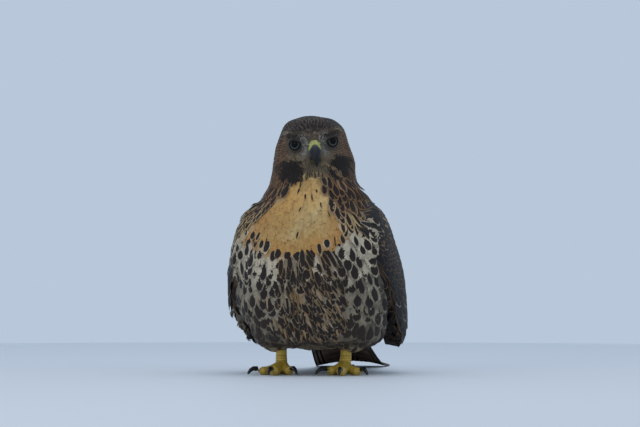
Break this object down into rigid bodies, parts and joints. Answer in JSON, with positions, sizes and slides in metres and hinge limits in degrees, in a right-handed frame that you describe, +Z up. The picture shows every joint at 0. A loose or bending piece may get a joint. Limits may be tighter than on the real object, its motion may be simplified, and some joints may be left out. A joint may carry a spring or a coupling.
{
  "type": "red-tailed hawk",
  "caption": "Standing red-tailed hawk in first-year plumage, life size and still, feathers fluffed, wings folded, head facing forward.",
  "frame": {"origin": "on the ground under the middle of the bird's box", "axes": "+Z up, the bird faces -Y with its tail towards +Y, and its left side is +X"},
  "size_m": [0.209, 0.3834, 0.2994],
  "materials": {
    "head_feathers": "short soft feathers, brown with tawny edges",
    "neck_feathers": "soft feathers, tawny with dark streaks",
    "body_feathers": "soft feathers, buff and cream with dark drops",
    "wing_feathers": "smooth dark brown feathers with pale edges",
    "flight_feathers": "smooth near-black vanes",
    "tail_feathers": "smooth brown vanes with narrow dark bands",
    "leg_scales": "scaly skin, satin",
    "cere_skin": "waxy skin, satin",
    "horn": "smooth blue-black horn",
    "eye": "clear wet eye over a pale iris"
  },
  "bodies": {
    "root": {"head": "head_feathers", "neck": "neck_feathers", "trunk": "body_feathers", "beak_upper": "horn", "beak_lower": "horn", "cere": "cere_skin", "eye_left": "eye", "eye_right": "eye", "wing_left": "wing_feathers", "wing_right": "wing_feathers", "wingtip_left": "flight_feathers", "wingtip_right": "flight_feathers", "tail": "tail_feathers", "thigh_left": "body_feathers", "thigh_right": "body_feathers", "shank_left": "leg_scales", "shank_right": "leg_scales", "foot_left": "leg_scales", "foot_right": "leg_scales", "claw_inner_left": "horn", "claw_inner_right": "horn", "claw_middle_left": "horn", "claw_middle_right": "horn", "claw_outer_left": "horn", "claw_outer_right": "horn", "claw_hind_left": "horn", "claw_hind_right": "horn"}
  },
  "joints": []
}
